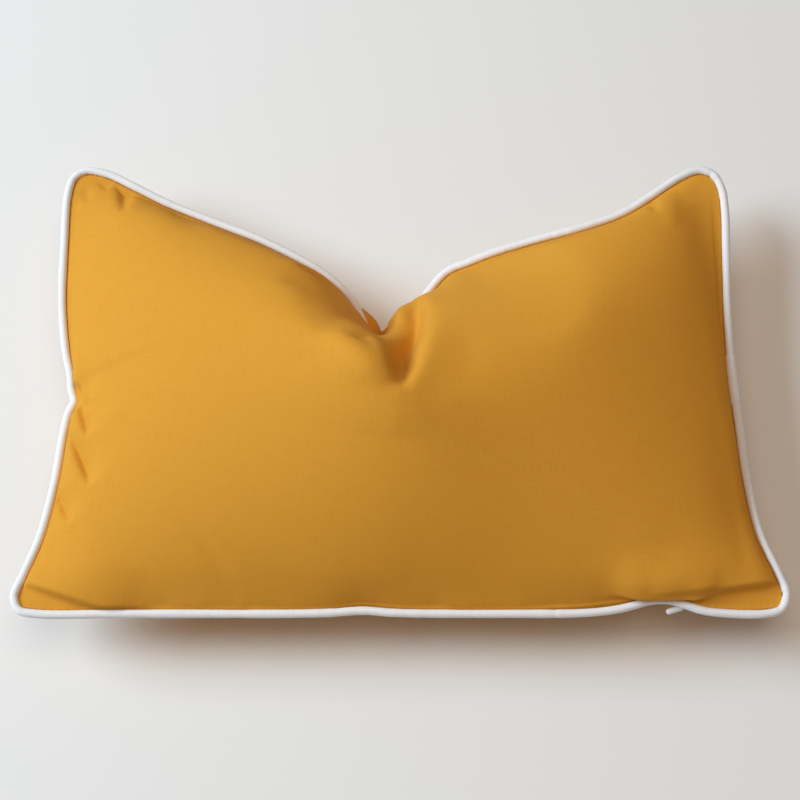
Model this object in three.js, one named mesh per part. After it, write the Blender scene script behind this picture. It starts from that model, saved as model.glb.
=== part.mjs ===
// Rectangular outdoor cushion cover, filled, with white piping and a chopped top edge.
// It lies on its back: +X to the cushion's right, +Y towards the chopped edge, +Z out of its face.
// Millimetres. The origin is under the middle of the cushion's box, on the surface it lies on.

import * as THREE from 'three';

// Driving dimensions
const PIPING_RADIUS = 2.6; // cord inside its bias strip
const SEWING_GAP = 0.3; // between the cover and what is sewn to it
const FACE_CROWN = 60; // height of the face's two lobes above the seam
const BACK_CROWN = 66; // the same at the back, before it is pressed flat
const SEAM_HEIGHT = 50; // how high the seam stays above the surface
// Powers of the blown film: 1 is a film, 0.5 a tight bag with upright sides
const FACE_ROUNDNESS = 0.75;
const BACK_ROUNDNESS = 0.56;

// Where the two ends of the piping's strip lap over each other, and how much thicker it is there
const LAP = { x: 208.5, y: 154, halfLength: 14, swell: 0.4 };

// Points that the seam passes, anticlockwise seen from the front, from the lower left corner.
// The columns are x, y and how far the seam is pushed out of its plane, towards the face.
const SEAM = [
  // lower edge, lifted a little left of the middle and more near the right corner
  [-219, 0, 0], [-170, 0, 0], [-120, 0, 0], [-70, 0, 0], [-42, 1, 0], [-22, 3.5, 0], [-4, 1, 0],
  [30, 0, 0], [70, 0, 0], [105, 1.5, 0], [130, 4.5, 0], [152, 7, 0], [168, 5, 0], [184, 1, 0],
  [220, 0, 0],
  // right side, drawn in between its corners
  [230, 3, 0], [233.5, 12, 0], [229, 26, 0], [219.5, 50, 0], [214, 82, 0], [211, 118, 0],
  [208.5, 154, 0], [208, 192, 0], [209.5, 235, 0], [210.5, 266, 0],
  // upper right corner
  [209, 281, 0], [204, 291, 0], [195, 294, 0], [184, 290, 0],
  // right flank of the chop, which sinks behind the face
  [160, 275, 0], [136, 262, 0], [112, 253, 0], [90, 248, -3], [59.5, 240, -8],
  [44, 235.5, -11.5], [30.5, 229.5, -15.5], [16, 214, -20],
  // foot of the chop
  [4, 198, -21], [-5, 182, -18], [-12.5, 173.5, -13], [-19, 179, -9.5],
  // left flank of the chop
  [-23.5, 190, -6.5], [-30, 203.5, -4], [-38, 212.5, -2.5], [-48, 221.5, -2], [-60, 229.5, -2],
  [-90, 246, -3], [-120, 258.5, -3], [-150, 271, -2], [-174, 283, 0],
  // upper left corner
  [-190, 291, 0], [-204, 293.5, 0], [-212, 289, 0], [-215.5, 278, 0],
  // left side, with a kink at mid height
  [-216, 240, 0], [-215, 200, 0], [-211.5, 168, 0], [-206.5, 138, 0], [-210.5, 112, 0],
  [-214, 82, 0], [-221, 48, 0], [-229, 23, 0], [-233, 11, 0], [-229.5, 2.5, 0],
];

// Soft troughs in the face: each runs from one point to another and fades over its half width.
// The columns are x and y of both ends, the half width and the depth. A ridge has a depth below 0.
const FACE_TROUGHS = [
  [-28, 126, 5, 124, 60, -63], // belly below the chop, where the filling is pushed forward
  [-112, 214, -90, 182, 45, -14], // fuller lobe on the left of the chop
  [-9, 182, -3, 168, 10, 20], // hollow in front of the foot of the chop
  [2, 150, -2, 116, 9, 3], // crease that runs down from the hollow
  [30, 186, 14, 152, 10, -7], // rounded ridge on the right of the hollow
  [-214, 12, -178, 6, 6, 3], // fold into the lower left corner
  [216, 14, 176, 8, 6, 3], // fold into the lower right corner
  [-158, 262, -152, 246, 7, 3], // pucker below the left end of the top edge
  [150, 262, 146, 246, 7, 2], // pucker below the right end of the top edge
];

// The short loose end of white cord that shows below the raised stretch of the lower edge
const CORD_END = {
  radius: 1.8,
  route: [[171, 5.4, -4.35], [167, 4.2, -5.1], [162.5, 2.8, -5.7]],
};

// How finely the surfaces are divided
const STEPS_PER_SEAM_POINT = 2;
const FACE_RINGS = 13;
const PIPING_SIDES = 8;
const CORD_END_STEPS = 6;
const FILM_SWEEPS = 900;

// The face is laid out on rings about this point, from a soft oval to the seam's own outline
const FACE_MIDDLE = new THREE.Vector2(-4, 95);
const OVAL = { halfWidth: 210, halfHeight: 115 };
const OVAL_FADE = 1.5; // how soon the rings take the outline's shape
const RING_CROWDING = 1.5; // above 1, the rings crowd towards the seam

const UP = new THREE.Vector3(0, 0, 1);

// Sweeps a closed surface over rows of points. A row of one point is a pole.
function skin(rows, joinsUp = false) {
  const first = [];
  const positions = [];
  for (const row of rows) {
    first.push(positions.length / 3);
    for (const point of row) positions.push(point.x, point.y, point.z);
  }
  const index = [];
  const bands = joinsUp ? rows.length : rows.length - 1;
  for (let r = 0; r < bands; r += 1) {
    const next = (r + 1) % rows.length;
    const sides = Math.max(rows[r].length, rows[next].length);
    for (let s = 0; s < sides; s += 1) {
      const here = first[r] + (s % rows[r].length);
      const hereOn = first[r] + ((s + 1) % rows[r].length);
      const there = first[next] + (s % rows[next].length);
      const thereOn = first[next] + ((s + 1) % rows[next].length);
      if (rows[next].length > 1) index.push(here, there, thereOn);
      if (rows[r].length > 1) index.push(here, thereOn, hereOn);
    }
  }
  const geometry = new THREE.BufferGeometry();
  geometry.setAttribute('position', new THREE.Float32BufferAttribute(positions, 3));
  geometry.setIndex(index);
  geometry.computeVertexNormals();
  return geometry;
}

// The ring of points round a cord at one place
function cordRing(centre, tangent, radius) {
  const outward = new THREE.Vector3().crossVectors(tangent, UP).normalize();
  const upward = new THREE.Vector3().crossVectors(outward, tangent).normalize();
  const ring = [];
  for (let s = 0; s < PIPING_SIDES; s += 1) {
    const angle = (2 * Math.PI * s) / PIPING_SIDES;
    ring.push(centre.clone()
      .addScaledVector(outward, radius * Math.cos(angle))
      .addScaledVector(upward, radius * Math.sin(angle)));
  }
  return ring;
}

// The seam's centre line, sampled with more points where its anchors are close together
const seamCurve = new THREE.CatmullRomCurve3(
  SEAM.map(([x, y, push]) => new THREE.Vector3(x, y, push)), true, 'centripetal');
const seamSteps = SEAM.length * STEPS_PER_SEAM_POINT;
const seamPoints = [];
const seamTangents = [];
for (let s = 0; s < seamSteps; s += 1) {
  seamPoints.push(seamCurve.getPoint(s / seamSteps));
  seamTangents.push(seamCurve.getTangent(s / seamSteps));
}

function makePiping() {
  const rows = seamPoints.map((point, s) => {
    const alongLap = Math.hypot(point.x - LAP.x, point.y - LAP.y) / LAP.halfLength;
    const radius = PIPING_RADIUS + (alongLap < 1 ? LAP.swell : 0);
    return cordRing(point, seamTangents[s], radius);
  });
  return skin(rows, true);
}

// The cover's rim lies just inside the piping
function rimPoint(s) {
  const outward = new THREE.Vector3().crossVectors(seamTangents[s], UP).normalize();
  return seamPoints[s].clone().addScaledVector(outward, -(PIPING_RADIUS + LAP.swell + SEWING_GAP));
}

// One half of the cover seen flat: a middle point, then rings out to the rim
function layOutFace() {
  const rings = [[FACE_MIDDLE.clone()]];
  for (let r = 1; r <= FACE_RINGS; r += 1) {
    const reach = 1 - (1 - r / FACE_RINGS) ** RING_CROWDING;
    const ring = [];
    for (let s = 0; s < seamSteps; s += 1) {
      const rim = rimPoint(s);
      const toRim = new THREE.Vector2(rim.x, rim.y).sub(FACE_MIDDLE);
      const ovalReach = 1 / Math.hypot(toRim.x / OVAL.halfWidth, toRim.y / OVAL.halfHeight);
      const toOval = toRim.clone().multiplyScalar(ovalReach);
      const spoke = toOval.lerp(toRim, reach ** OVAL_FADE);
      ring.push(FACE_MIDDLE.clone().addScaledVector(spoke, reach));
    }
    rings.push(ring);
  }
  return rings;
}

// The heights of a film over the flat layout, held at the rim. With a push it bellies out like a
// blown film; without one it only carries the rim's own heights across.
function filmHeights(rings, push, rimHeights) {
  const flat = skin(rings.map((ring) => ring.map((p) => new THREE.Vector3(p.x, p.y, 0))));
  const count = flat.attributes.position.count;
  const corner = [new THREE.Vector3(), new THREE.Vector3(), new THREE.Vector3()];
  const neighbours = Array.from({ length: count }, () => new Map());
  const area = new Float64Array(count);
  for (let t = 0; t < flat.index.count; t += 3) {
    const ids = [0, 1, 2].map((k) => flat.index.getX(t + k));
    ids.forEach((id, k) => corner[k].fromBufferAttribute(flat.attributes.position, id));
    const triangle = new THREE.Triangle(...corner).getArea();
    for (let k = 0; k < 3; k += 1) {
      const a = ids[(k + 1) % 3];
      const b = ids[(k + 2) % 3];
      const toA = corner[(k + 1) % 3].clone().sub(corner[k]);
      const toB = corner[(k + 2) % 3].clone().sub(corner[k]);
      const halfCotangent = toA.dot(toB) / (4 * triangle);
      neighbours[a].set(b, (neighbours[a].get(b) ?? 0) + halfCotangent);
      neighbours[b].set(a, (neighbours[b].get(a) ?? 0) + halfCotangent);
      area[ids[k]] += triangle / 3;
    }
  }
  const heights = new Float64Array(count);
  const rimStart = count - rimHeights.length;
  heights.set(rimHeights, rimStart);
  for (let sweep = 0; sweep < FILM_SWEEPS; sweep += 1) {
    for (let i = 0; i < rimStart; i += 1) {
      let total = push * area[i];
      let weight = 0;
      for (const [j, w] of neighbours[i]) {
        total += w * heights[j];
        weight += w;
      }
      heights[i] = total / weight;
    }
  }
  return heights;
}

// How deep the troughs are at one point of the face
function troughDepth(x, y) {
  let depth = 0;
  for (const [x0, y0, x1, y1, halfWidth, deepest] of FACE_TROUGHS) {
    const line = new THREE.Line3(new THREE.Vector3(x0, y0, 0), new THREE.Vector3(x1, y1, 0));
    const place = new THREE.Vector3(x, y, 0);
    const nearest = line.closestPointToPoint(place, true, new THREE.Vector3());
    depth += deepest * Math.exp(-((place.distanceTo(nearest) / halfWidth) ** 2));
  }
  return depth;
}

function makeBody() {
  const rings = layOutFace();
  const rimHeights = seamPoints.map((point) => point.z);
  const film = filmHeights(rings, 1, rimHeights.map(() => 0));
  const drift = filmHeights(rings, 0, rimHeights);
  const tallest = Math.max(...film);
  const front = [];
  const back = [];
  let i = 0;
  for (const ring of rings) {
    const frontRow = [];
    const backRow = [];
    for (const point of ring) {
      const rise = Math.max(film[i], 0) / tallest;
      const relief = troughDepth(point.x, point.y) * rise ** 0.25;
      const face = drift[i] + FACE_CROWN * rise ** FACE_ROUNDNESS - relief;
      const rear = Math.max(drift[i] - BACK_CROWN * rise ** BACK_ROUNDNESS, -SEAM_HEIGHT);
      frontRow.push(new THREE.Vector3(point.x, point.y, face));
      backRow.push(new THREE.Vector3(point.x, point.y, rear));
      i += 1;
    }
    front.push(frontRow);
    back.push(backRow);
  }
  return skin([...front, ...back.reverse().slice(1)]);
}

function makeCordEnd() {
  const route = new THREE.CatmullRomCurve3(CORD_END.route.map(([x, y, z]) => new THREE.Vector3(x, y, z)));
  const rows = [];
  for (let step = 0; step <= CORD_END_STEPS; step += 1) {
    const along = step / CORD_END_STEPS;
    // both ends are rounded, so the section grows and shrinks as a half circle does
    const toEnd = Math.min(along, 1 - along) * route.getLength();
    const inset = Math.max(0, 1 - toEnd / CORD_END.radius);
    const radius = CORD_END.radius * Math.sqrt(1 - inset ** 2);
    const centre = route.getPointAt(along);
    rows.push(radius > 0 ? cordRing(centre, route.getTangentAt(along), radius) : [centre]);
  }
  return skin(rows);
}

function piece(name, geometry, color, roughness) {
  const material = new THREE.MeshStandardMaterial({ color, roughness, metalness: 0 });
  const mesh = new THREE.Mesh(geometry, material);
  mesh.name = name;
  return mesh;
}

const cushion = new THREE.Group();
cushion.add(piece('cushion_body', makeBody(), 0xcb9235, 0.8));
cushion.add(piece('piping', makePiping(), 0xe6e3dc, 0.75));
cushion.add(piece('cord_end', makeCordEnd(), 0xe6e3dc, 0.75));

const box = new THREE.Box3().setFromObject(cushion);
const middle = box.getCenter(new THREE.Vector3());
cushion.position.set(-middle.x, -middle.y, -box.min.z);

export default cushion;
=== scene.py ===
"""Looks for a filled outdoor cushion cover with piping, lying on its back.

The cover is two flat panels, sewn round the edge. Blender's cloth blows them up while a rod chops the
top in, and the folds and the details of the seam are laid in afterwards. Sizes and places are in
millimetres in the seam's own plane, where y is 0 at the lower edge and z is 0 in the plane; to_row()
carries them into the frame, in metres.
"""

import math

import bpy
import numpy as np
from mathutils import Matrix, Vector


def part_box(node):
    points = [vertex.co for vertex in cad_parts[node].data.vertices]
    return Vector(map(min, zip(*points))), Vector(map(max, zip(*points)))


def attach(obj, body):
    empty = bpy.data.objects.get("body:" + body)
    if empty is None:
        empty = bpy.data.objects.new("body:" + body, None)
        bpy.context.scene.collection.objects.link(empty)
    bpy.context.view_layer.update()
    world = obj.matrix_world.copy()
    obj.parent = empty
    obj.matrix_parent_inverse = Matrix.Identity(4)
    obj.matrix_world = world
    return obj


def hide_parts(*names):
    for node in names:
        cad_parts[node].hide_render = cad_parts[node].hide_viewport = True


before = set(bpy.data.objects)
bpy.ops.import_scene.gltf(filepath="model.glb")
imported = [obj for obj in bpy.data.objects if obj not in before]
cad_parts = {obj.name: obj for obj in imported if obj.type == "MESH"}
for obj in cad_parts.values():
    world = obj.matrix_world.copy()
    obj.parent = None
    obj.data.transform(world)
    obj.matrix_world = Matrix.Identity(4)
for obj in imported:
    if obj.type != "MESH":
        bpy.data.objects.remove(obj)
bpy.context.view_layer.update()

MM = 0.001

# The photograph's view, with the face leaning back. Seen from the lower seam, in the seam's plane,
# the camera is back by its reach and up by its height.
LEAN = math.radians(18.0)
LEVEL = Vector((0, math.sin(LEAN), -math.cos(LEAN)))
UPRIGHT = Vector((0, math.cos(LEAN), math.sin(LEAN)))
CAMERA_HEIGHT = 114.4
CAMERA_REACH = 1123.0
CAMERA = UPRIGHT * CAMERA_HEIGHT - LEVEL * CAMERA_REACH
# In the photograph's pixels
FOCAL_LENGTH = 1863.0
PICTURE_WIDTH = 800.0
HORIZON_BELOW_MIDDLE = 23.7
SENSOR_WIDTH = 36.0  # in millimetres

# Points that the piping's centre line passes, anticlockwise from the lower left corner.
# The columns are x, y and how far the seam is pushed out of its plane, towards the face.
LOWER = [
    # lower edge, lifted a little left of the middle and more near the right corner
    (-219, 0, 0), (-170, 0, 0), (-120, 0, 0), (-70, 0, 0), (-42, 0.6, 0), (-22, 1.9, 0), (-4, 0.6, 0),
    (30, 0, 0), (70, 0, 0), (104, 0.2, 0), (120, 1.2, 0), (133, 3.1, 0), (142, 5.4, 0), (149, 7.6, 0),
    (157, 8.5, 0), (164, 8.0, 0), (172, 5.6, 0), (181, 2.4, 0), (190, 0.8, 0), (220, 0, 0),
]
RIGHT = [
    # right side, drawn in between its corners
    (230, 3, 0), (233.5, 12, 0), (229, 26, 0), (219.5, 50, 0), (214, 82, 0), (211, 118, 0),
    (208.5, 154, 0), (208, 192, 0), (209.5, 235, 0), (210.5, 266, 0),
    # upper right corner
    (209, 281, 0), (204, 291, 0), (195, 294, 0), (184, 290, 0),
]
CHOP = [
    # right flank, which sinks behind the face
    (160, 273.6, 0), (148, 265.8, 0), (136, 260, 0), (112, 251.8, 0), (90, 246.7, -3),
    (59.5, 238.9, -8), (44, 233.8, -11.5), (30.5, 229.2, -15.5), (16, 214, -20),
    # foot
    (4, 198, -21), (-5, 182, -18), (-12.5, 173.5, -13), (-19, 179, -9.5),
    # left flank
    (-23.5, 190, -6.5), (-30, 203.5, -4), (-38, 212.5, -2.5), (-48, 221.5, -2), (-60, 229.5, -2),
    (-90, 246, -3), (-120, 258.5, -3), (-150, 271, -2), (-174, 283, 0),
]
UPPER_LEFT = [(-190, 291, 0), (-204, 293.5, 0), (-212, 289, 0), (-215.5, 278, 0)]
LEFT = [
    # left side, with a kink at mid height
    (-216, 240, 0), (-215, 200, 0), (-210.8, 168, 0), (-207, 152, 0), (-206, 143, 0),
    (-203.8, 135, 0), (-207, 126, 0), (-209.4, 112, 0), (-212.8, 82, 0), (-219.6, 48, 0),
    (-228.7, 23, 0),
]
LOWER_LEFT = [(-233, 11, 0), (-229.5, 2.5, 0)]
# Where three of them are while the cover fills, before it is plucked into its last shape
LOWER_WHILE_FILLING = [
    (-219, 0, 0), (-170, 0, 0), (-120, 0, 0), (-70, 0, 0), (-42, 1, 0), (-22, 3.5, 0), (-4, 1, 0),
    (30, 0, 0), (70, 0, 0), (105, 1.5, 0), (130, 4.5, 0), (152, 7, 0), (168, 5, 0), (184, 1, 0),
    (220, 0, 0),
]
CHOP_WHILE_FILLING = [
    (160, 275, 0), (136, 262, 0), (112, 253, 0), (90, 248, -3), (59.5, 239, -8), (44, 233, -12),
    (30, 223.5, -17), (18, 211, -21),
    (6, 195, -22), (-4, 181, -18), (-12, 173, -13), (-20, 177, -9),
    (-28, 188, -5), (-37, 202, -2), (-56, 222.5, -2), (-87, 240, -3), (-118, 254.5, -3),
    (-150, 269, -2), (-174, 282, 0),
]
LEFT_WHILE_FILLING = [
    (-216, 240, 0), (-215, 200, 0), (-211.5, 168, 0), (-206.5, 138, 0), (-210.5, 112, 0),
    (-214, 82, 0), (-221, 48, 0), (-229, 23, 0),
]
CORNERS = [(-231, 4), (231, 4), (206, 290), (-208, 292)]  # where the panels' corners are sewn in
SEAM_STEPS = 24  # samples between two seam points
TANGENT_REACH = 1.0  # how far each way the seam's direction is measured
MATCH_STEP = 1.0  # between the places on the seam that the cover's points are matched to

PIPING_RADIUS = 2.6
PIPING_STEP = 1.0
PIPING_SIDES = 16
LAP = {"x": 208.7, "y": 149.0, "half_length": 16.0, "swell": 0.55}
# The piping's crimps. The columns are their spacing, their height all round, and what is added to
# that on the inside of bends.
CRIMPS = [(9.0, 0.12, 0.0), (3.0, 0.05, 0.3)]
CRIMP_SEED = 11
# How far the seam turns over that span, in radians, where crimps start to show and show fully
BEND = {"half_span": 5.0, "slight": 0.1, "tight": 0.6}
CORD_TAIL = {"route": [(171.5, 5.2, -4.45), (167, 3.9, -5.2), (161, 2.0, -5.9)],
             "radius": 1.9, "tip": 0.002, "rings": 24, "sides": 14}

# The panels as cut and sewn, before filling
PANEL_TOP = 508.0
PANEL_BOTTOM = 470.0
PANEL_HEIGHT = 288.0
PANEL_WAIST = 14.0  # how much narrower than straight sides would make it half way up
CELL = 5.5
STITCH_INSET = 2.3  # from the piping's centre line to the panels' sewn edge
LAYING_ROUNDS = 400
SLACK = 6.0  # how far out of the seam's plane each panel's middle starts
SLACK_ROUNDNESS = 0.5
PRESSURE = 60
# Frames of the filling
FIRST_FRAME = 1
SEWN_FRAME = 15  # when the seam and the rod have reached their places
LAST_FRAME = 36

# Spacing of the finished cover's points, beside the seam and round the chop, and elsewhere
FINE_STEP = 1.35
COARSE_STEP = 3.4
# From the left and the right side of a panel to where its columns start and end their widening
WIDENING_LEFT = (48, 90)
WIDENING_RIGHT = (25, 80)
# From a panel's lower edge to where its rows start and end their widening, and their narrowing
WIDENING_UP = (125, 140)
NARROWING_UP = (150, 165)
SPACING_SAMPLES = 1500
PLUCKED = (5, 80)  # how far down the panels the plucking of the chop starts and ends to fade

# The rod that presses the chop in while the cover fills. It stands along the line of sight.
ROD = {"x": -14.0, "y": 187.0, "radius": 8.0, "half_length": 130.0, "travel": 130.0, "sides": 16}

# How the face rises beside the piping, at places round the seam. The columns are x, y, how far
# inside the piping's centre line the face stays, and how much further for each millimetre of rise.
WALLS = [
    (-150, 0, 2.8, -0.05), (0, 0, 2.8, -0.05), (200, 0, 2.8, -0.02),
    (229, 26, 2.8, 0.15), (211, 118, 2.8, 0.19), (209.5, 235, 2.6, 0.2), (204, 291, 2.8, 0.42),
    (160, 275, 2.8, 0.48), (90, 248, 2.6, 0.5), (44, 235, 2.4, 0.36), (16, 214, 2.4, 0.1),
    (-23.5, 190, 2.2, 0.08), (-38, 212.5, 2.4, 0.2), (-60, 229.5, 2.6, 0.34), (-90, 246, 2.6, 0.42),
    (-150, 271, 2.8, 0.45), (-204, 293.5, 2.8, 0.42),
    (-216, 260, 1.8, 0.14), (-215, 200, 0.5, 0.12), (-209, 152, 1.2, 0.1), (-206.5, 138, 2.6, 0.1),
    (-208, 125, 3.2, 0.1), (-213, 90, 3.8, 0.14), (-221, 48, 4.2, 0.16), (-233, 11, 3.2, 0.16),
]
BACK_STAY = 1.1  # how far inside the back stays, all round
WALL_ROUNDING = 1.0
WALL_RISE = (0.3, 3.0)  # above the seam, where the walls start and have set in
WALL_REACH = (40, 60)  # inside the seam, where they start and end to fade

# The lip at the foot of the chop, where the walls and the tuck leave the cover as it is
LIP = {"x": 0.0, "y": 194.0, "inner": 17.0, "outer": 27.0}

# Where a panel swells out over the piping, or is drawn in where that is below 0. The columns are
# x, y, how far round there, how far out, and how far inside the seam it ends.
FRONT_SWELLS = [
    (-17, 179, 9, 5.0, 150), (-4, 184, 8, 3.0, 150), (0, 194, 12, 3.4, 150), (-206.5, 136, 7, -3.5, 150),
    (145, 6, 12, 5.8, 30), (162, 8, 12, 5.8, 30), (178, 3.5, 9, 6.0, 30),
]
BACK_SWELLS = [(-11, 181, 14, 13.0, 150), (-25, 193, 12, 9.0, 150)]
SWELL_RISE = (2.6, 8.0)  # from the seam, where a swell starts and has set in
SWELL_TOP = (20, 60)  # from the seam, where it starts and ends to fade
SWELL_KEPT = 0.4  # it is whole as far inside as this share of where it ends

# How the panels are calmed beside the seam, away from the rod
BESIDE_SEAM = {"near": 6.0, "far": 30.0, "rounds": 12, "off_rod": (12, 45)}
# Where else. The columns are x, y, how far round there fully, how far at all, and rounds.
CALMED = [(17, 147, 22, 42, 14), (72, 196, 22, 50, 30), (-34, 176, 14, 30, 14)]
CALMED_OFF_ROD = (2, 14)
CALMED_OFF_RIM = (1, 4)  # in cells

# The groove between the piping and the cover. It sets in above the lower edge, which doesn't have it.
TUCK = {"depth": 1.3, "rise": 1.8, "width": 2.0, "starts": (0, 0.8), "reach": (6, 10), "above": (5, 40)}

# The seam's puckers. The columns are spacing and height.
PUCKERS = [(22.0, 0.55), (9.0, 0.45)]
PUCKER_REACH = 9.0
PUCKER_SEED = 7
OFF_PIPING = (2.6, 7.0)  # from the seam, where they start and have set in
# The dents that the seam's stitches pull in the cover
STITCH = {"pitch": 5.0, "dent": 0.5, "sharpness": 8, "reach": 4.0, "off_piping": (2.6, 4.0)}

# The height at which the back rests, and how rounded the edge of that flat is
REST = {"height": 0.5, "rounding": 3.0}

# Folds and creases that handling left in the face, each one a leaf shape about a line. The columns
# are the ends of the line, where along it the fold is deepest, how far it fades out there on the
# line's left and on its right, its depth, and whether its bottom is soft or sharp. A ridge has a
# depth below 0. A fold that is deepest at 0 comes out of the seam.
FOLDS = [
    # hollow beside the chop, the ridge on its right, the crease below its tip and the lobe on its left
    (10, 204, 1, 114, 0.5, 7, 9, 20.0, "soft"),
    (0, 116, 30, 172, 0.4, 8, 20, -3.0, "soft"),
    (1.5, 122, -3.0, 88, 0.3, 24, 40, -2.6, "sharp"),
    (-30, 170, -3, 119, 0.5, 8, 20, -7.5, "soft"),
    # left side, about its kink
    (-205, 132, -186, 124, 0, 6, 5, 3.0, "soft"),
    (-201, 162, -189, 132, 0.6, 5, 5, 3.0, "soft"),
    (-200, 132, -191, 105, 0.6, 7, 1.8, 5.5, "sharp"),
    (-204, 110, -187.5, 74, 0.6, 8, 1.8, 6.5, "sharp"),
    (-211, 73, -200, 53, 0.4, 6, 1.8, 5.0, "sharp"),
    # upper left corner
    (-179.5, 293, -177, 257, 0.35, 5, 4, 4.0, "soft"),
    (-193, 292, -190.5, 278, 0.3, 3, 3, 3.0, "soft"),
    (-206, 282, -201, 270, 0.5, 4, 4, 1.5, "soft"),
    (-148, 266, -122, 236, 0.5, 8, 8, 1.6, "soft"),
    # upper right corner
    (162, 275, 163.5, 256, 0.3, 3, 3, 2.6, "soft"),
    (174, 284, 173, 244, 0.5, 6, 8, -1.2, "soft"),
    # lower left corner
    (-231, 20.5, -150, -4, 0.4, 20, 3, -7.0, "soft"),
    # lower right corner
    (150, 9, 234, 20.5, 0.75, 24, 2.6, -6.0, "soft"),
]
LEAST_RUN_IN = 0.5  # before its deepest place a fold fades over this share of its length or more
LEAST_LEAF = 0.3  # where a fold is shallower than this share of its depth, it gets no narrower
# Folds start and have set in between these: how far the cover faces up, its rise above the seam,
# and its distance from there
FOLDED_FACE = (0.05, 0.45)
FOLDED_RISE = (-0.5, 0.1)
FOLDED_OFF_SEAM = (2.4, 6.0)
LEAST_RISE = 0.3  # they reach no lower than this above the seam

# Cloths. The weave's pitch and relief are in millimetres, its fleck is a share of the colour.
COVER_COLOR = (0.70, 0.322, 0.038)
COVER_WEAVE = {"pitch": 0.7, "turn": 0.0, "relief": 0.02, "fleck": 0.03}
COVER_SPECULAR = 0.05
PIPING_COLOR = (0.84, 0.85, 0.88)
PIPING_WEAVE = {"pitch": 0.6, "turn": math.radians(45), "relief": 0.03, "fleck": 0.03}
CLOTH_ROUGHNESS = 0.8
SLUB = {"length": 14.0, "width": 0.8, "height": 0.7}
WAVE_RATE = 20  # radians in one unit of Blender's wave texture at scale 1

# The studio, in metres and watts
FLOOR_HALF_SIDE = 4.0
FLOOR_COLOR = (0.86, 0.86, 0.86)
FLOOR_ROUGHNESS = 0.6
WORLD_COLOR = (1.0, 0.80, 0.63)
WORLD_STRENGTH = 0.20
LIT_PLACE = (0, 0, 0.05)
KEY_LIGHT = {"place": (-2.5, 0.55, 2.05), "size": 1.8, "power": 101, "color": (0.72, 0.885, 1.0)}
OVERHEAD_LIGHT = {"place": (0, 0.2, 2.95), "size": 2.0, "power": 24, "color": (1.0, 0.82, 0.66)}


def fade(value, start, end):
    """Goes from 0 to 1 smoothly between start and end."""
    t = np.clip((value - start) / (end - start), 0, 1)
    return t * t * (3 - 2 * t)


def fade_out(value, start, end):
    """Goes from 1 to 0 smoothly between start and end."""
    return fade(-value, -end, -start)


def soft_floor(value, least, softness):
    """The value, kept above the least one with a rounded turn."""
    return least + softness * np.logaddexp(0, (value - least) / softness)


def uneven(rng, length, spacing):
    """Places along a line and random heights between -1 and 1 there, for wrinkles across it."""
    count = int(length / spacing)
    places = np.sort(rng.uniform(0, length, count))
    heights = rng.uniform(-1, 1, count)
    return places, heights


def smooth_loop(points, steps):
    """Points on a closed centripetal Catmull-Rom curve through the given ones."""
    points = np.array(points, float)
    count = len(points)
    curve = []
    for i in range(count):
        p0, p1, p2, p3 = (points[(i + k) % count] for k in (-1, 0, 1, 2))
        t0 = 0.0
        t1 = t0 + np.linalg.norm(p1 - p0) ** 0.5
        t2 = t1 + np.linalg.norm(p2 - p1) ** 0.5
        t3 = t2 + np.linalg.norm(p3 - p2) ** 0.5
        for t in np.linspace(t1, t2, steps, endpoint=False):
            a1 = ((t1 - t) * p0 + (t - t0) * p1) / (t1 - t0)
            a2 = ((t2 - t) * p1 + (t - t1) * p2) / (t2 - t1)
            a3 = ((t3 - t) * p2 + (t - t2) * p3) / (t3 - t2)
            b1 = ((t2 - t) * a1 + (t - t0) * a2) / (t2 - t0)
            b2 = ((t3 - t) * a2 + (t - t1) * a3) / (t3 - t1)
            curve.append(((t2 - t) * b1 + (t - t1) * b2) / (t2 - t1))
    return np.array(curve)


class Seam:
    """The piping's centre line, measured by the distance along it."""

    def __init__(self, rows):
        self.points = smooth_loop(rows, SEAM_STEPS)
        ahead = np.roll(self.points, -1, axis=0)
        step = np.linalg.norm(ahead - self.points, axis=1)
        self.length = step.sum()
        self.marks = np.concatenate([[0.0], np.cumsum(step)])
        self.closed = np.vstack([self.points, self.points[:1]])

    def at(self, distance):
        """The point or points that far along the loop."""
        wrapped = np.mod(distance, self.length)
        return np.stack([np.interp(wrapped, self.marks, self.closed[:, k]) for k in range(3)], axis=-1)

    def outward(self, distance):
        """Unit vectors in the seam's plane that point away from the cushion."""
        along = self.at(distance + TANGENT_REACH) - self.at(distance - TANGENT_REACH)
        away = np.stack([along[..., 1], -along[..., 0], np.zeros_like(along[..., 0])], axis=-1)
        return away / np.linalg.norm(away, axis=-1, keepdims=True)

    def nearest(self, x, y):
        """The distance along the loop of the place nearest to x, y."""
        gap = np.hypot(self.points[:, 0] - x, self.points[:, 1] - y)
        return self.marks[int(np.argmin(gap))]


seam = Seam(LOWER + RIGHT + CHOP + UPPER_LEFT + LEFT + LOWER_LEFT)
filling_seam = Seam(
    LOWER_WHILE_FILLING + RIGHT + CHOP_WHILE_FILLING + UPPER_LEFT + LEFT_WHILE_FILLING + LOWER_LEFT)
low, high = (np.array(corner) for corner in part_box("piping"))
seam_low = seam.points.min(axis=0)
seam_high = seam.points.max(axis=0)
ORIGIN = (low + high) / 2 / MM - (seam_low + seam_high) / 2


def to_row(points):
    """From millimetres in the seam's plane to metres in the frame."""
    return (np.asarray(points, float) + ORIGIN) * MM


def new_object(name, points, faces, material=None, smooth=True):
    """A mesh with its vertices at those points, in metres."""
    mesh = bpy.data.meshes.new(name)
    mesh.from_pydata(np.asarray(points).tolist(), [], [tuple(int(i) for i in face) for face in faces])
    mesh.polygons.foreach_set("use_smooth", [smooth] * len(mesh.polygons))
    thing = bpy.data.objects.new(name, mesh)
    bpy.context.scene.collection.objects.link(thing)
    if material is not None:
        mesh.materials.append(material)
    return thing


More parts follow.
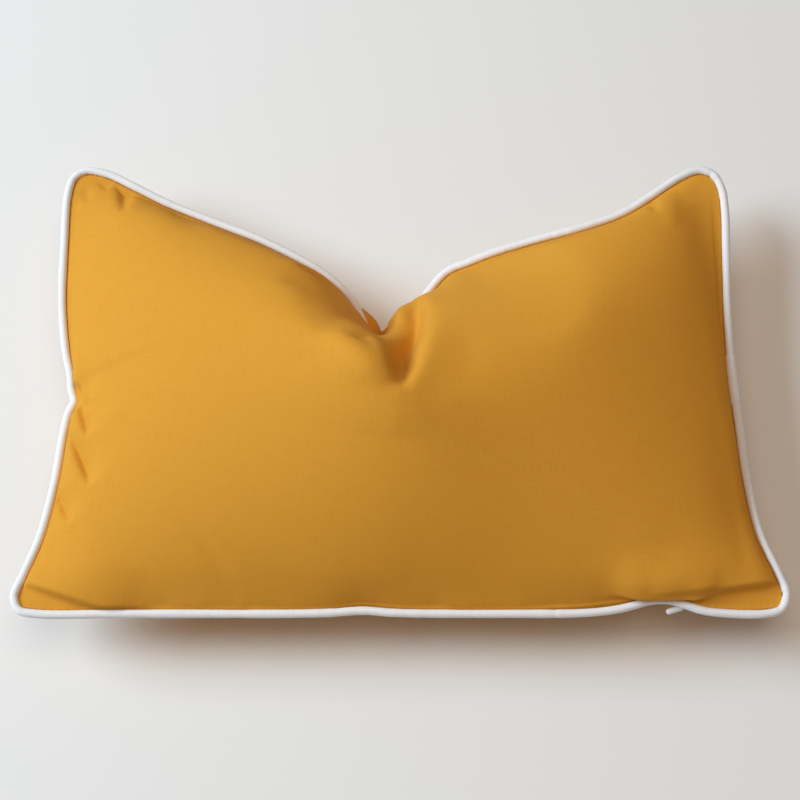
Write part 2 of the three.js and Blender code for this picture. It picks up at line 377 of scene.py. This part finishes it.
def sewn(line, side, fractions):
    """Where a panel's side, counted anticlockwise from the lower one, is sewn to a seam."""
    start, end = (line.nearest(*CORNERS[corner % 4]) for corner in (side, side + 1))
    where = start + ((end - start) % line.length) * fractions
    return line.at(where) - STITCH_INSET * line.outward(where)


def sew_rim(line, grid, u, v):
    """Puts the edge of a panel's grid of points on a seam."""
    grid[:, 0] = sewn(line, 0, u)
    grid[-1, :] = sewn(line, 1, v)
    grid[:, -1] = sewn(line, 2, 1 - u)
    grid[0, :] = sewn(line, 3, 1 - v)


def cut_panel(u, v):
    """The points of a flat panel as it is cut."""
    width = PANEL_BOTTOM + (PANEL_TOP - PANEL_BOTTOM) * v[None, :]
    width = width - PANEL_WAIST * np.sin(math.pi * v[None, :])
    flat = np.zeros((len(u), len(v), 3))
    flat[..., 0] = (u[:, None] - 0.5) * width
    flat[..., 1] = v[None, :] * PANEL_HEIGHT
    return flat


def mean_of_neighbours(grid):
    """The middle of each inner point's four neighbours."""
    return (grid[2:, 1:-1] + grid[:-2, 1:-1] + grid[1:-1, 2:] + grid[1:-1, :-2]) / 4


def sew_panels():
    """The grids of a panel, flat as cut and as placed with its edge on the seam, and its slack."""
    u = np.linspace(0, 1, round(PANEL_TOP / CELL) + 1)
    v = np.linspace(0, 1, round(PANEL_HEIGHT / CELL) + 1)
    placed = np.zeros((len(u), len(v), 3))
    sew_rim(filling_seam, placed, u, v)
    way_up = v[None, :, None]
    placed[1:-1, 1:-1] = ((1 - way_up) * placed[:, :1] + way_up * placed[:, -1:])[1:-1, 1:-1]
    for _ in range(LAYING_ROUNDS):
        placed[1:-1, 1:-1] = mean_of_neighbours(placed)
    belly = (np.sin(math.pi * u)[:, None] * np.sin(math.pi * v)[None, :]) ** SLACK_ROUNDNESS
    return cut_panel(u, v), placed, belly


def grid_faces(ids, flip):
    """Four-sided faces between a grid's vertex numbers, turned over if flip says so."""
    a, b, c, d = ids[:-1, :-1], ids[1:, :-1], ids[1:, 1:], ids[:-1, 1:]
    quads = np.stack([a, d, c, b] if flip else [a, b, c, d], axis=-1)
    return quads.reshape(-1, 4)


def press_rod():
    """A rod in the chop, standing across both panels, that comes down as the seam moves."""
    sides = ROD["sides"]
    angle = np.linspace(0, 2 * math.pi, sides, endpoint=False)
    section = np.stack([np.cos(angle), np.sin(angle), np.zeros(sides)], axis=1) * ROD["radius"]
    ends = [-1, -0.5, 0, 0.5, 1]
    points = np.vstack([section + [0, 0, ROD["half_length"] * end] for end in ends]) * MM
    ids = np.arange(len(points)).reshape(len(ends), sides)
    a, b = ids[:-1], ids[1:]
    quads = np.stack([a, np.roll(a, -1, axis=1), np.roll(b, -1, axis=1), b], axis=-1)
    faces = quads.reshape(-1, 4).tolist() + [ids[0][::-1].tolist(), ids[-1].tolist()]
    rod = new_object("press_rod", points, faces)
    foot = Vector((ROD["x"], ROD["y"], 0)) * MM
    sight = CAMERA * MM - foot
    rod.rotation_euler = sight.to_track_quat("Z", "Y").to_euler()
    rod.location = foot + Vector((0, ROD["travel"] * MM, 0))
    rod.keyframe_insert("location", frame=FIRST_FRAME)
    rod.location = foot
    rod.keyframe_insert("location", frame=SEWN_FRAME)
    rod.modifiers.new("collision", "COLLISION")
    rod.collision.thickness_outer = 0.001
    rod.collision.cloth_friction = 2
    return rod


def join_panels(shape):
    """Vertex numbers of the front and the back panel, which share their edge, and their faces."""
    count = shape[0] * shape[1]
    front = np.arange(count).reshape(shape)
    edge = np.zeros(shape, bool)
    edge[[0, -1], :] = True
    edge[:, [0, -1]] = True
    back = front.copy()
    back[~edge] = count + np.arange((~edge).sum())
    faces = np.vstack([grid_faces(front, False), grid_faces(back, True)])
    return front, back, edge, faces


def fill_cover():
    """Blows up the two sewn panels while their seam and the rod move to their places."""
    flat, placed, belly = sew_panels()
    front, back, edge, faces = join_panels(flat.shape[:2])

    def both(grid):
        """Vertex positions of the front panel, then of the back panel's inner vertices."""
        up = grid.copy()
        up[..., 2] += SLACK * belly
        down = grid.copy()
        down[..., 2] -= SLACK * belly
        return np.vstack([up.reshape(-1, 3), down[~edge]])

    pad = new_object("cover_cloth", both(flat) * MM, faces)
    pad.shape_key_add(name="Basis")
    key = pad.shape_key_add(name="Placed")
    key.data.foreach_set("co", (both(placed) * MM).ravel())
    key.value = 0.0
    key.keyframe_insert("value", frame=FIRST_FRAME)
    key.value = 1.0
    key.keyframe_insert("value", frame=SEWN_FRAME)
    stitches = pad.vertex_groups.new(name="stitches")
    stitches.add([int(i) for i in front[edge]], 1.0, "REPLACE")

    rod = press_rod()
    cloth = pad.modifiers.new("fill", "CLOTH")
    cloth.collision_settings.use_collision = True
    cloth.collision_settings.distance_min = 0.002
    cloth.collision_settings.collision_quality = 3
    cloth.point_cache.frame_start = FIRST_FRAME
    cloth.point_cache.frame_end = LAST_FRAME
    settings = cloth.settings
    settings.quality = 8
    settings.mass = 0.01
    settings.vertex_group_mass = "stitches"
    settings.tension_stiffness = 80
    settings.compression_stiffness = 1
    settings.shear_stiffness = 5
    settings.bending_stiffness = 5
    settings.use_pressure = True
    settings.uniform_pressure_force = PRESSURE
    settings.effector_weights.gravity = 0
    for frame_number in range(FIRST_FRAME, LAST_FRAME + 1):
        bpy.context.scene.frame_set(frame_number)
    shape = pad.evaluated_get(bpy.context.evaluated_depsgraph_get()).to_mesh()
    blown = np.empty(len(shape.vertices) * 3)
    shape.vertices.foreach_get("co", blown)
    bpy.context.scene.frame_set(FIRST_FRAME)
    bpy.data.objects.remove(pad)
    bpy.data.objects.remove(rod)
    blown = blown.reshape(-1, 3) / MM
    return blown[front], blown[back]


def spline(values, places):
    """Reads values at places between them, on a cubic B-spline that keeps the two ends."""
    before = 2 * values[:1] - values[1:2]
    after = 2 * values[-1:] - values[-2:-1]
    held = np.concatenate([before, values, after])
    whole = np.minimum(places.astype(int), len(values) - 2)
    f = (places - whole).reshape((-1,) + (1,) * (values.ndim - 1))
    total = (1 - f) ** 3 * held[whole]
    total = total + (3 * f ** 3 - 6 * f ** 2 + 4) * held[whole + 1]
    total = total + (-3 * f ** 3 + 3 * f ** 2 + 3 * f + 1) * held[whole + 2]
    total = total + f ** 3 * held[whole + 3]
    return total / 6


def crowded(length, spacing):
    """Fractions of a length, as close together as spacing(distance) says."""
    marks = np.linspace(0, length, SPACING_SAMPLES)
    count = np.concatenate([[0], np.cumsum(np.diff(marks) / spacing(marks[1:]))])
    return np.interp(np.linspace(0, count[-1], round(count[-1]) + 1), count, marks) / length


def across_spacing(distance):
    """Spacing of the columns, which stand closer towards both sides, and further in on the left."""
    widening = np.minimum(fade(distance, *WIDENING_LEFT), fade(PANEL_TOP - distance, *WIDENING_RIGHT))
    return FINE_STEP + (COARSE_STEP - FINE_STEP) * widening


def upward_spacing(distance):
    """Spacing of the rows, which stand closer everywhere but half way up."""
    widening = fade(distance, *WIDENING_UP) * fade_out(distance, *NARROWING_UP)
    return FINE_STEP + (COARSE_STEP - FINE_STEP) * widening


def relax(grid, ease, rounds):
    """Moves each point towards the middle of its neighbours, as far as ease says there."""
    ease = ease[1:-1, 1:-1, None]
    for _ in range(rounds):
        grid[1:-1, 1:-1] += ease * (mean_of_neighbours(grid) - grid[1:-1, 1:-1])


def calm(grid):
    """Takes out the chance creases that the filling makes beside the seam and the chop."""
    i = np.arange(grid.shape[0])[:, None]
    j = np.arange(grid.shape[1])[None, :]
    cells = np.minimum(np.minimum(i, i[::-1]), np.minimum(j, j[:, ::-1]))
    beside = fade_out(cells * CELL, BESIDE_SEAM["near"], BESIDE_SEAM["far"])
    to_rod = np.hypot(grid[..., 0] - ROD["x"], grid[..., 1] - ROD["y"]) - ROD["radius"]
    relax(grid, beside * fade(to_rod, *BESIDE_SEAM["off_rod"]), BESIDE_SEAM["rounds"])
    for x, y, near, far, rounds in CALMED:
        around = fade_out(np.hypot(grid[..., 0] - x, grid[..., 1] - y), near, far)
        relax(grid, around * fade(cells, *CALMED_OFF_RIM) * fade(to_rod, *CALMED_OFF_ROD), rounds)


def off_lip(points):
    """0 on the lip at the foot of the chop, 1 away from it."""
    return fade(np.hypot(points[..., 0] - LIP["x"], points[..., 1] - LIP["y"]), LIP["inner"], LIP["outer"])


def make_cover():
    """The filled cover, with its points spread anew, plucked to the seam and dressed."""
    u = crowded(PANEL_TOP, across_spacing)
    v = crowded(PANEL_HEIGHT, upward_spacing)
    plucked = sewn(seam, 2, 1 - u) - sewn(filling_seam, 2, 1 - u)
    felt = fade_out((1 - v) * PANEL_HEIGHT, *PLUCKED)
    panels = []
    for grid in fill_cover():
        calm(grid)
        columns = spline(grid, u * (grid.shape[0] - 1))
        fine = spline(columns.swapaxes(0, 1), v * (grid.shape[1] - 1)).swapaxes(0, 1)
        fine += plucked[:, None] * felt[None, :, None]
        sew_rim(seam, fine, u, v)
        panels.append(fine)
    _, _, edge, faces = join_panels(panels[0].shape[:2])
    points = np.vstack([panels[0].reshape(-1, 3), panels[1][~edge]])
    cover = new_object("cover", to_row(points), faces, cover_material())
    flat = cut_panel(u, v)
    flat = np.vstack([flat.reshape(-1, 3), flat[~edge]])
    uv = cover.data.uv_layers.new(name="cloth")
    uv.data.foreach_set("uv", (flat[faces.ravel()][:, :2] * MM).ravel())
    dress_cover(cover)
    return cover


def fold_depth(x, y):
    """How deep all the folds together are at places on the face."""
    depth = np.zeros_like(x)
    for x0, y0, x1, y1, peak, left, right, deepest, bottom in FOLDS:
        length = math.hypot(x1 - x0, y1 - y0)
        along = ((x - x0) * (x1 - x0) + (y - y0) * (y1 - y0)) / length ** 2
        across = ((x1 - x0) * (y - y0) - (y1 - y0) * (x - x0)) / length
        before = (peak - along) / max(peak, LEAST_RUN_IN)
        off_peak = np.where(along > peak, (along - peak) / (1 - peak), before)
        leaf = np.clip(1 - off_peak ** 2, 0, 1)
        width = np.where(across > 0, left, right) * np.maximum(leaf, LEAST_LEAF) ** 0.5
        ratio = np.abs(across) / width
        section = np.exp(-ratio) if bottom == "sharp" else np.exp(-ratio ** 2)
        depth += deepest * section * leaf
    return depth


class Cloth:
    """The cover's points, in millimetres in the seam's plane, and where they are from the seam."""

    def __init__(self, mesh):
        points = np.empty(len(mesh.vertices) * 3)
        normals = np.empty(len(mesh.vertices) * 3)
        mesh.vertices.foreach_get("co", points)
        mesh.vertices.foreach_get("normal", normals)
        self.points = points.reshape(-1, 3) / MM - ORIGIN
        self.normals = normals.reshape(-1, 3)
        line = np.arange(0, seam.length, MATCH_STEP)
        anchors = seam.at(line)
        nearest = np.empty(len(self.points), int)
        batch = 2000  # a few at a time, to spare memory
        for start in range(0, len(self.points), batch):
            gap = self.points[start:start + batch, None, :2] - anchors[None, :, :2]
            nearest[start:start + batch] = np.argmin((gap ** 2).sum(axis=-1), axis=1)
        # each point's nearest place on the seam, how far along the seam that is, the way out of the
        # cushion there, and how far inside and above the seam the point is
        self.foot = anchors[nearest]
        self.along = line[nearest]
        self.away = seam.outward(line)[nearest]
        self.inset = -((self.points - self.foot) * self.away)[:, :2].sum(axis=1)
        self.inside = np.maximum(self.inset, 0)
        self.rise = self.points[:, 2] - self.foot[:, 2]

    def push_out(self, distance):
        """Moves the points away from the cushion's middle."""
        self.points += self.away * distance[:, None]

    def lift(self, height):
        """Moves the points out of the cloth."""
        self.points += self.normals * height[:, None]


def lean_walls(cloth):
    """Keeps the cover inside the piping, as far as WALLS says."""
    table = np.array(WALLS)
    marks = np.array([seam.nearest(x, y) for x, y in table[:, :2]])
    order = np.argsort(marks)
    stay, lean = (np.interp(cloth.along, marks[order], table[order, column], period=seam.length)
                  for column in (2, 3))
    least = np.where(cloth.rise > 0, stay + lean * cloth.rise, BACK_STAY)
    pushed = soft_floor(cloth.inset, least, WALL_ROUNDING) - cloth.inset
    felt = fade(np.abs(cloth.rise), *WALL_RISE) * fade_out(cloth.inset, *WALL_REACH)
    cloth.push_out(-pushed * off_lip(cloth.foot) * felt)


def swell_out(cloth):
    """Lets the panels swell out over the piping where the tables say."""
    for swells, height in ((FRONT_SWELLS, cloth.rise), (BACK_SWELLS, -cloth.rise)):
        felt = fade(height, *SWELL_RISE) * fade_out(height, *SWELL_TOP)
        for x, y, reach, furthest, inner in swells:
            gap = (cloth.foot[:, 0] - x) ** 2 + (cloth.foot[:, 1] - y) ** 2
            swell = furthest * np.exp(-gap / reach ** 2)
            cloth.push_out(swell * fade_out(cloth.inset, SWELL_KEPT * inner, inner) * felt)


def tuck_in(cloth):
    """Draws the cover in beside the piping."""
    height = np.abs(cloth.rise)
    tuck = TUCK["depth"] * np.exp(-((height - TUCK["rise"]) / TUCK["width"]) ** 2)
    tuck *= fade(height, *TUCK["starts"]) * fade_out(cloth.inset, *TUCK["reach"])
    cloth.push_out(-tuck * fade(cloth.foot[:, 1], *TUCK["above"]) * off_lip(cloth.foot))


def pucker(cloth):
    """Lays in the seam's puckers and the dents of its stitches."""
    off_edge = np.abs(cloth.rise) + cloth.inside
    close = np.exp(-(cloth.inside / PUCKER_REACH) ** 2) * fade(off_edge, *OFF_PIPING)
    rng = np.random.default_rng(PUCKER_SEED)
    for spacing, height in PUCKERS:
        places, heights = uneven(rng, seam.length, spacing)
        cloth.lift(height * np.interp(cloth.along, places, heights, period=seam.length) * close)
    beside = np.exp(-(cloth.inside / STITCH["reach"]) ** 2) * fade(off_edge, *STITCH["off_piping"])
    dents = np.cos(math.pi * cloth.along / STITCH["pitch"]) ** STITCH["sharpness"]
    cloth.lift(-STITCH["dent"] * dents * beside)


def fold(cloth):
    """Lays the folds in the face, none of them below the seam."""
    face = fade(cloth.normals[:, 2], *FOLDED_FACE) * fade(cloth.rise, *FOLDED_RISE)
    face *= fade(cloth.rise + cloth.inside, *FOLDED_OFF_SEAM)
    inward = -(cloth.normals + [0, 0, 1]) / 2
    lowest = np.minimum(cloth.points[:, 2], cloth.foot[:, 2] + LEAST_RISE)
    depth = fold_depth(cloth.points[:, 0], cloth.points[:, 1])
    cloth.points += inward * (depth * face)[:, None]
    cloth.points[:, 2] = np.maximum(cloth.points[:, 2], lowest)


def dress_cover(cover):
    """Gives the filled cover its walls, its seam and its folds, and rests its back."""
    cloth = Cloth(cover.data)
    lean_walls(cloth)
    swell_out(cloth)
    tuck_in(cloth)
    pucker(cloth)
    resting = REST["height"] - ORIGIN[2]
    cloth.points[:, 2] = soft_floor(cloth.points[:, 2], resting, REST["rounding"])
    fold(cloth)
    cover.data.vertices.foreach_set("co", to_row(cloth.points).ravel())
    cover.data.update()


def material(name, color, roughness):
    """A plain material."""
    made = bpy.data.materials.new(name)
    made.use_nodes = True
    shader = made.node_tree.nodes["Principled BSDF"]
    shader.inputs["Base Color"].default_value = (*color, 1.0)
    shader.inputs["Roughness"].default_value = roughness
    return made


def threads(tree, pitch, turn):
    """Ripples of that pitch across the cloth's own coordinates, as a height from 0 to 1."""
    where = tree.nodes.new("ShaderNodeUVMap")
    where.uv_map = "cloth"
    placed = tree.nodes.new("ShaderNodeMapping")
    placed.inputs["Rotation"].default_value = (0, 0, turn)
    ripples = tree.nodes.new("ShaderNodeTexWave")
    ripples.inputs["Scale"].default_value = 2 * math.pi / (WAVE_RATE * pitch * MM)
    ripples.inputs["Distortion"].default_value = 0.6
    ripples.inputs["Detail"].default_value = 1.0
    ripples.inputs["Detail Scale"].default_value = 0.3
    tree.links.new(where.outputs["UV"], placed.inputs["Vector"])
    tree.links.new(placed.outputs["Vector"], ripples.inputs["Vector"])
    return ripples.outputs["Fac"]


def slubs(tree, along, across):
    """Thick and thin places in the threads, that long and that wide in millimetres."""
    where = tree.nodes.new("ShaderNodeUVMap")
    where.uv_map = "cloth"
    placed = tree.nodes.new("ShaderNodeMapping")
    placed.inputs["Scale"].default_value = (1 / (along * MM), 1 / (across * MM), 1.0)
    noise = tree.nodes.new("ShaderNodeTexNoise")
    noise.inputs["Scale"].default_value = 1.0
    noise.inputs["Detail"].default_value = 1.0
    tree.links.new(where.outputs["UV"], placed.inputs["Vector"])
    tree.links.new(placed.outputs["Vector"], noise.inputs["Vector"])
    return noise.outputs["Fac"]


def blend(tree, kind, first, second):
    """A sum or product of two sockets or numbers."""
    node = tree.nodes.new("ShaderNodeMath")
    node.operation = kind
    for socket, value in zip(node.inputs, (first, second)):
        if isinstance(value, float):
            socket.default_value = value
        else:
            tree.links.new(value, socket)
    return node.outputs[0]


def weave(made, color, pitch, turn, relief, fleck):
    """Gives a material a plain weave with slubs in its threads."""
    tree = made.node_tree
    shader = tree.nodes["Principled BSDF"]
    length, width = SLUB["length"], SLUB["width"]
    slub = blend(tree, "ADD", slubs(tree, length, width), slubs(tree, width, length))
    cross = blend(tree, "MULTIPLY", threads(tree, pitch, turn), threads(tree, pitch, turn + math.pi / 2))
    height = blend(tree, "ADD", cross, blend(tree, "MULTIPLY", slub, SLUB["height"]))
    bump = tree.nodes.new("ShaderNodeBump")
    bump.inputs["Strength"].default_value = 1.0
    bump.inputs["Distance"].default_value = relief * MM
    tree.links.new(height, bump.inputs["Height"])
    tree.links.new(bump.outputs["Normal"], shader.inputs["Normal"])
    ramp = tree.nodes.new("ShaderNodeValToRGB")
    ramp.color_ramp.elements[0].position = 0.7
    ramp.color_ramp.elements[0].color = (*(c * (1 - fleck) for c in color), 1.0)
    ramp.color_ramp.elements[1].position = 1.0
    ramp.color_ramp.elements[1].color = (*(min(c * (1 + fleck), 1.0) for c in color), 1.0)
    tree.links.new(slub, ramp.inputs["Fac"])
    tree.links.new(ramp.outputs["Color"], shader.inputs["Base Color"])


def cover_material():
    """The cover's dull yellow canvas."""
    made = material("cover_fabric", COVER_COLOR, CLOTH_ROUGHNESS)
    shader = made.node_tree.nodes["Principled BSDF"]
    shader.inputs["Specular IOR Level"].default_value = COVER_SPECULAR
    weave(made, COVER_COLOR, **COVER_WEAVE)
    return made


def piping_material():
    """The piping's white strip, woven askew to it."""
    made = material("piping_fabric", PIPING_COLOR, CLOTH_ROUGHNESS)
    weave(made, PIPING_COLOR, **PIPING_WEAVE)
    return made


def cord_rings(centres, ahead, radii, sides):
    """Rings of points round a cord, one for each centre and the way on from it."""
    tangent = ahead / np.linalg.norm(ahead, axis=1, keepdims=True)
    outward = np.cross(tangent, [0, 0, 1])
    outward /= np.linalg.norm(outward, axis=1, keepdims=True)
    upward = np.cross(outward, tangent)
    angle = np.linspace(0, 2 * math.pi, sides, endpoint=False)[None, :, None]
    across = np.cos(angle) * outward[:, None] + np.sin(angle) * upward[:, None]
    return centres[:, None] + radii[..., None] * across


def join_rings(rings, following):
    """Four-sided faces from each ring of vertex numbers to the following one."""
    corners = [rings, following, np.roll(following, -1, axis=1), np.roll(rings, -1, axis=1)]
    return np.stack(corners, axis=-1).reshape(-1, 4)


def make_piping():
    """The cord in its bias strip, crimped on the inside of its bends, with the strip's ends lapped."""
    stations = round(seam.length / PIPING_STEP)
    where = np.arange(stations) * seam.length / stations
    sides = PIPING_SIDES
    centres = seam.at(where)
    lap = np.hypot(centres[:, 0] - LAP["x"], centres[:, 1] - LAP["y"]) < LAP["half_length"]
    radii = np.full((stations, sides), PIPING_RADIUS) + LAP["swell"] * lap[:, None]
    rng = np.random.default_rng(CRIMP_SEED)
    span = BEND["half_span"]
    turn = np.linalg.norm(seam.outward(where + span) - seam.outward(where - span), axis=1)
    bent = fade(turn, BEND["slight"], BEND["tight"])
    inner = (1 - np.cos(np.linspace(0, 2 * math.pi, sides, endpoint=False))) / 2
    for spacing, height, crimp in CRIMPS:
        places, heights = uneven(rng, seam.length, spacing)
        wave = np.interp(where, places, heights, period=seam.length)
        radii += (wave * height)[:, None] + (wave * crimp * bent)[:, None] * inner
    ahead = np.roll(centres, -1, axis=0) - np.roll(centres, 1, axis=0)
    rings = cord_rings(centres, ahead, radii, sides)
    ids = np.arange(stations * sides).reshape(stations, sides)
    quads = join_rings(ids, np.roll(ids, -1, axis=0))
    piping = new_object("piping_trim", to_row(rings.reshape(-1, 3)), quads, piping_material())
    cloth_coordinates(piping, quads)
    return piping


def cloth_coordinates(piping, quads):
    """Lays the strip's cloth round the piping: along it, and round it, in metres."""
    corner = np.array([[0, 0], [1, 0], [1, 1], [0, 1]])
    station = quads[:, :1] // PIPING_SIDES + corner[None, :, 0]
    side = quads[:, :1] % PIPING_SIDES + corner[None, :, 1]
    round_step = 2 * math.pi * PIPING_RADIUS / PIPING_SIDES
    uv = np.stack([station * PIPING_STEP, side * round_step], axis=-1) * MM
    layer = piping.data.uv_layers.new(name="cloth")
    layer.data.foreach_set("uv", uv.ravel())


def make_cord_tail():
    """The loose cord's end, rounded at its tips."""
    radius, sides = CORD_TAIL["radius"], CORD_TAIL["sides"]
    route = np.array(CORD_TAIL["route"])
    t = np.linspace(0, 1, CORD_TAIL["rings"])
    centres = np.stack([np.interp(t, [0, 0.5, 1], route[:, k]) for k in range(3)], axis=1)
    length = np.linalg.norm(route[-1] - route[0])
    to_tip = np.clip(1 - np.minimum(t, 1 - t) * length / radius, 0, 1)
    radii = radius * np.sqrt(np.clip(1 - to_tip ** 2, CORD_TAIL["tip"], 1))
    rings = cord_rings(centres, np.gradient(centres, axis=0), radii[:, None], sides)
    ids = np.arange(len(t) * sides).reshape(len(t), sides)
    faces = join_rings(ids[:-1], ids[1:]).tolist() + [ids[0][::-1].tolist(), ids[-1].tolist()]
    return new_object("cord_tail", to_row(rings.reshape(-1, 3)), faces, piping_material())


def place_camera():
    """The photograph's view of the face."""
    tilt = math.atan(HORIZON_BELOW_MIDDLE / FOCAL_LENGTH)
    forward = LEVEL * math.cos(tilt) + UPRIGHT * math.sin(tilt)
    up = UPRIGHT * math.cos(tilt) - LEVEL * math.sin(tilt)
    right = forward.cross(up)
    data = bpy.data.cameras.new("camera")
    data.sensor_width = SENSOR_WIDTH
    data.lens = SENSOR_WIDTH * FOCAL_LENGTH / PICTURE_WIDTH
    camera = bpy.data.objects.new("camera", data)
    bpy.context.scene.collection.objects.link(camera)
    where = Vector(to_row(CAMERA))
    camera.matrix_world = Matrix((
        (right.x, up.x, -forward.x, where.x),
        (right.y, up.y, -forward.y, where.y),
        (right.z, up.z, -forward.z, where.z),
        (0, 0, 0, 1)))
    bpy.context.scene.camera = camera


def area_light(name, place, size, power, color):
    """A round light that shines on the cushion."""
    data = bpy.data.lights.new(name, "AREA")
    data.shape = "DISK"
    data.size = size
    data.energy = power
    data.color = color
    light = bpy.data.objects.new(name, data)
    bpy.context.scene.collection.objects.link(light)
    light.location = place
    light.rotation_euler = (Vector(LIT_PLACE) - Vector(place)).to_track_quat("-Z", "Y").to_euler()


def make_stage():
    """A pale floor in the room's light."""
    side = FLOOR_HALF_SIDE
    corners = [(-side, -side, 0), (side, -side, 0), (side, side, 0), (-side, side, 0)]
    paint = material("floor", FLOOR_COLOR, FLOOR_ROUGHNESS)
    floor = new_object("floor", corners, [(0, 1, 2, 3)], paint, smooth=False)
    world = bpy.data.worlds.new("studio")
    bpy.context.scene.world = world
    world.use_nodes = True
    world.node_tree.nodes["Background"].inputs["Color"].default_value = (*WORLD_COLOR, 1.0)
    world.node_tree.nodes["Background"].inputs["Strength"].default_value = WORLD_STRENGTH
    area_light("key", **KEY_LIGHT)
    area_light("overhead", **OVERHEAD_LIGHT)
    bpy.context.scene.view_settings.view_transform = "Standard"


place_camera()
make_stage()
cover = make_cover()
piping = make_piping()
cord_tail = make_cord_tail()

for piece, node, slot in (
    (cover, "cushion_body", "cover_fabric"),
    (piping, "piping", "piping_fabric"),
    (cord_tail, "cord_end", "cord_end_fabric"),
):
    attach(piece, "root")
    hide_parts(node)
